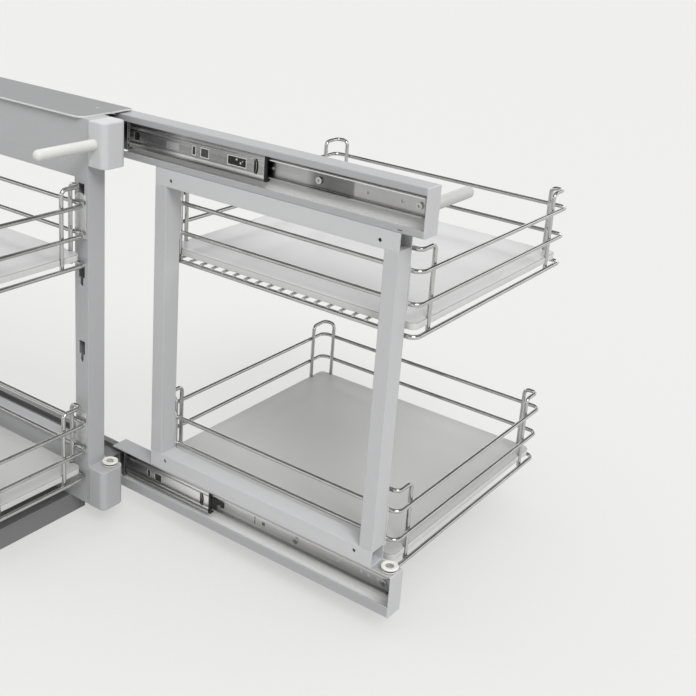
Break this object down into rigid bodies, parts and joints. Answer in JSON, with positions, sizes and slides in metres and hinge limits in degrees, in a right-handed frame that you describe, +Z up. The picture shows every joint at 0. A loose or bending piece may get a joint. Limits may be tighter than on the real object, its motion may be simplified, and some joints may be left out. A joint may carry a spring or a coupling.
{
  "type": "pull-out shelf",
  "caption": "Corner cupboard pull-out: a framed shelf with deep wire baskets on telescopic ball slides, carried by a fixed frame with narrow baskets.",
  "frame": {"origin": "on the cupboard floor, at the centre of the four screw holes in the base beams", "axes": "+X the way the shelf pulls out, along the slides; +Y from the fixed frame to the deep baskets; +Z up"},
  "size_m": [1.009, 0.7248, 0.6065],
  "materials": {
    "grey_paint": "satin silver-grey powder coat",
    "dark_steel": "satin dark grey",
    "zinc_steel": "bright zinc plate",
    "cage_steel": "plain pressed steel",
    "ball_steel": "polished bearing steel",
    "black_plastic": "matt black",
    "white_plastic": "smooth off-white",
    "chrome_wire": "bright chrome plate",
    "board": "pale grey melamine face on chipboard"
  },
  "bodies": {
    "fixed_unit": {"fixed_top_beam": "grey_paint", "fixed_bottom_beam": "grey_paint", "fixed_end_blocks": "grey_paint", "fixed_posts": "grey_paint", "fixed_cross_tubes": "grey_paint", "top_plate": "dark_steel", "base_beams": "dark_steel", "slide_spacers": "dark_steel", "top_fixed_member": "zinc_steel", "bottom_fixed_member": "zinc_steel", "fixed_member_screws": "zinc_steel", "fixed_rod": "zinc_steel", "fixed_roller_bolt": "zinc_steel", "front_upper_rails": "chrome_wire", "front_upper_corners": "chrome_wire", "front_upper_floor": "chrome_wire", "front_upper_board": "board", "front_lower_rails": "chrome_wire", "front_lower_corners": "chrome_wire", "front_lower_floor": "chrome_wire", "front_lower_board": "board", "front_hook_plates": "zinc_steel"},
    "shelf": {"shelf_top_rail": "grey_paint", "shelf_bottom_rail": "grey_paint", "rail_end_plates": "grey_paint", "top_shelf_member": "zinc_steel", "bottom_shelf_member": "zinc_steel", "shelf_member_screws": "zinc_steel", "frame_uprights": "grey_paint", "frame_beams": "grey_paint", "shelf_rod": "zinc_steel", "shelf_roller_bolt": "zinc_steel", "shelf_upper_rails": "chrome_wire", "shelf_upper_corners": "chrome_wire", "shelf_upper_floor": "chrome_wire", "shelf_upper_board": "board", "shelf_lower_rails": "chrome_wire", "shelf_lower_corners": "chrome_wire", "shelf_lower_floor": "chrome_wire", "shelf_lower_board": "board", "shelf_hook_plates": "zinc_steel"},
    "fixed_roller": {"fixed_roller": "white_plastic"},
    "shelf_roller": {"shelf_roller": "white_plastic"},
    "top_middle": {"top_middle_member": "zinc_steel", "top_end_buffer": "black_plastic", "top_latch": "black_plastic"},
    "bottom_middle": {"bottom_middle_member": "zinc_steel", "bottom_end_buffer": "black_plastic", "bottom_latch": "black_plastic"},
    "top_outer_balls": {"top_outer_cage": "cage_steel", "top_outer_balls": "ball_steel"},
    "top_inner_balls": {"top_inner_cage": "cage_steel", "top_inner_balls": "ball_steel"},
    "bottom_outer_balls": {"bottom_outer_cage": "cage_steel", "bottom_outer_balls": "ball_steel"},
    "bottom_inner_balls": {"bottom_inner_cage": "cage_steel", "bottom_inner_balls": "ball_steel"}
  },
  "joints": [
    {"name": "shelf_slide", "type": "slide", "parent": "fixed_unit", "child": "shelf", "axis": [1, 0, 0], "range_m": [-0.474, 0.006]},
    {"name": "top_middle_slide", "type": "slide", "parent": "fixed_unit", "child": "top_middle", "axis": [1, 0, 0], "range_m": [-0.24401, 0.0031]},
    {"name": "bottom_middle_slide", "type": "slide", "parent": "fixed_unit", "child": "bottom_middle", "axis": [1, 0, 0], "range_m": [-0.19801, 0.00252]},
    {"name": "top_outer_balls_slide", "type": "slide", "parent": "fixed_unit", "child": "top_outer_balls", "axis": [1, 0, 0], "range_m": [-0.12201, 0.00155]},
    {"name": "bottom_outer_balls_slide", "type": "slide", "parent": "fixed_unit", "child": "bottom_outer_balls", "axis": [1, 0, 0], "range_m": [-0.09901, 0.00126]},
    {"name": "top_inner_balls_slide", "type": "slide", "parent": "fixed_unit", "child": "top_inner_balls", "axis": [1, 0, 0], "range_m": [-0.35901, 0.00455]},
    {"name": "bottom_inner_balls_slide", "type": "slide", "parent": "fixed_unit", "child": "bottom_inner_balls", "axis": [1, 0, 0], "range_m": [-0.33601, 0.00426]},
    {"name": "fixed_roller_spin", "type": "hinge", "parent": "fixed_unit", "child": "fixed_roller", "pos_m": [0.266, 0.13, 0.097], "axis": [0, 0, 1], "continuous": true},
    {"name": "shelf_roller_spin", "type": "hinge", "parent": "shelf", "child": "shelf_roller", "pos_m": [0.716, 0.185, 0.097], "axis": [0, 0, 1], "continuous": true}
  ],
  "couplings": [
    {"joint": "top_middle_slide", "follows": "shelf_slide", "ratio": 0.51477},
    {"joint": "bottom_middle_slide", "follows": "shelf_slide", "ratio": 0.41772},
    {"joint": "top_outer_balls_slide", "follows": "shelf_slide", "ratio": 0.25738},
    {"joint": "bottom_outer_balls_slide", "follows": "shelf_slide", "ratio": 0.20886},
    {"joint": "top_inner_balls_slide", "follows": "shelf_slide", "ratio": 0.75738},
    {"joint": "bottom_inner_balls_slide", "follows": "shelf_slide", "ratio": 0.70886}
  ]
}
